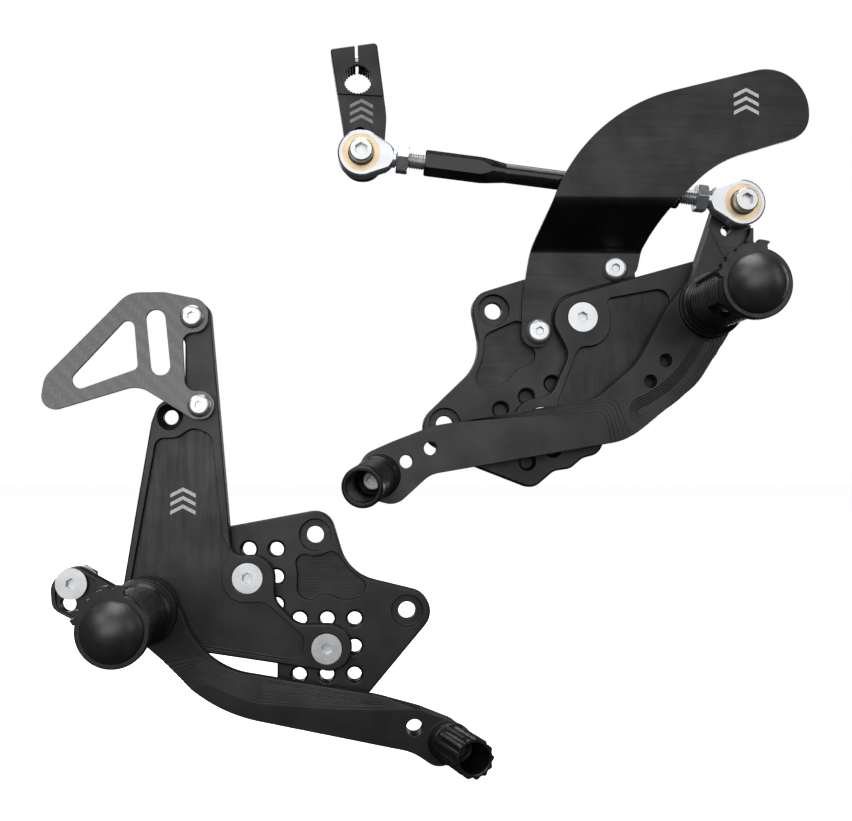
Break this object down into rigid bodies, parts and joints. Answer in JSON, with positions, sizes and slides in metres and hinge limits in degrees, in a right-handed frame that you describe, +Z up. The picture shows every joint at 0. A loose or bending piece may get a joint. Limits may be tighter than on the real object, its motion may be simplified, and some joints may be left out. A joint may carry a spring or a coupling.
{
  "type": "motorcycle rearset foot peg kit",
  "caption": "Motorcycle rearset foot peg kit: black aluminium brake and shift units with pivoting toe levers, heel guards and a ball-jointed shift rod with a spindle clamp.",
  "frame": {"origin": "midway between the two frame bolt holes of the brake unit, on the back face of its adapter plate", "axes": "+Z up, -Y outwards to the rider's foot, +X from the brake unit's foot peg towards its toe peg"},
  "size_m": [0.3935, 0.1206, 0.3722],
  "materials": {
    "black_anodised": "satin black anodised, milled",
    "black_plastic": "matte moulded",
    "zinc_steel": "bright zinc plated",
    "black_steel": "black oxide",
    "rod_end_steel": "bright zinc plated, faint blue tint",
    "bronze": "turned",
    "carbon_fibre": "twill weave under satin lacquer",
    "gloss_black_rod": "glossy black anodised"
  },
  "bodies": {
    "plates_and_pegs": {"brake_adapter_plate": "black_anodised", "brake_side_plate": "black_anodised", "brake_plate_screws": "zinc_steel", "brake_heel_guard": "carbon_fibre", "brake_guard_spacers": "black_anodised", "brake_guard_screws": "zinc_steel", "brake_pivot_sleeve": "zinc_steel", "brake_thrust_washers": "zinc_steel", "brake_peg_bolt": "zinc_steel", "brake_foot_peg": "black_anodised", "brake_peg_end_plug": "black_anodised", "brake_slider_stud": "zinc_steel", "brake_peg_slider": "black_plastic", "shift_adapter_plate": "black_anodised", "shift_side_plate": "black_anodised", "shift_plate_screws": "zinc_steel", "shift_heel_guard": "black_anodised", "shift_guard_screws": "zinc_steel", "shift_pivot_sleeve": "zinc_steel", "shift_thrust_washers": "zinc_steel", "shift_peg_bolt": "zinc_steel", "shift_foot_peg": "black_anodised", "shift_peg_end_plug": "black_anodised", "shift_slider_stud": "zinc_steel", "shift_peg_slider": "black_plastic"},
    "brake_lever_unit": {"brake_lever": "black_anodised", "brake_lever_bushes": "bronze", "brake_toe_peg": "black_anodised", "brake_toe_peg_screw": "black_steel", "brake_pushrod_bolt": "zinc_steel", "brake_pushrod_spacer": "black_anodised", "brake_pushrod_washer": "zinc_steel", "brake_pushrod_nut": "black_steel"},
    "shift_lever_unit": {"shift_lever": "black_anodised", "shift_lever_bushes": "bronze", "shift_toe_peg": "black_anodised", "shift_toe_peg_screw": "zinc_steel", "rear_link_bolt": "zinc_steel", "rear_ball": "rod_end_steel"},
    "linkage": {"linkage_rod": "gloss_black_rod", "rod_jam_nuts": "zinc_steel", "rear_rod_end": "rod_end_steel", "front_rod_end": "rod_end_steel", "rear_race": "bronze", "front_race": "bronze"},
    "clamp_unit": {"spindle_clamp": "black_anodised", "clamp_pinch_bolt": "zinc_steel", "front_ball": "rod_end_steel", "front_link_bolt": "zinc_steel"}
  },
  "joints": [
    {"name": "brake_lever_pivot", "type": "hinge", "parent": "plates_and_pegs", "child": "brake_lever_unit", "pos_m": [-0.1099, -0.026, -0.0174], "axis": [0, 1, 0], "range_deg": [0, 10], "stiffness_Nm_per_rad": 20, "springref_deg": -2.86},
    {"name": "shift_lever_pivot", "type": "hinge", "parent": "plates_and_pegs", "child": "shift_lever_unit", "pos_m": [0.1821, -0.026, 0.1401], "axis": [0, 1, 0], "range_deg": [-9, 9], "stiffness_Nm_per_rad": 20},
    {"name": "rod_swivel", "type": "hinge", "parent": "shift_lever_unit", "child": "linkage", "pos_m": [0.1975, -0.033, 0.1929], "axis": [0, 1, 0], "range_deg": [-8.8, 8.8]},
    {"name": "clamp_swivel", "type": "hinge", "parent": "linkage", "child": "clamp_unit", "pos_m": [-0.0006, -0.033, 0.2162], "axis": [0, 1, 0], "range_deg": [-13.4, 13.4]}
  ],
  "couplings": [
    {"joint": "rod_swivel", "follows": "shift_lever_pivot", "ratio": -0.9095},
    {"joint": "clamp_swivel", "follows": "shift_lever_pivot", "ratio": -1.42}
  ]
}
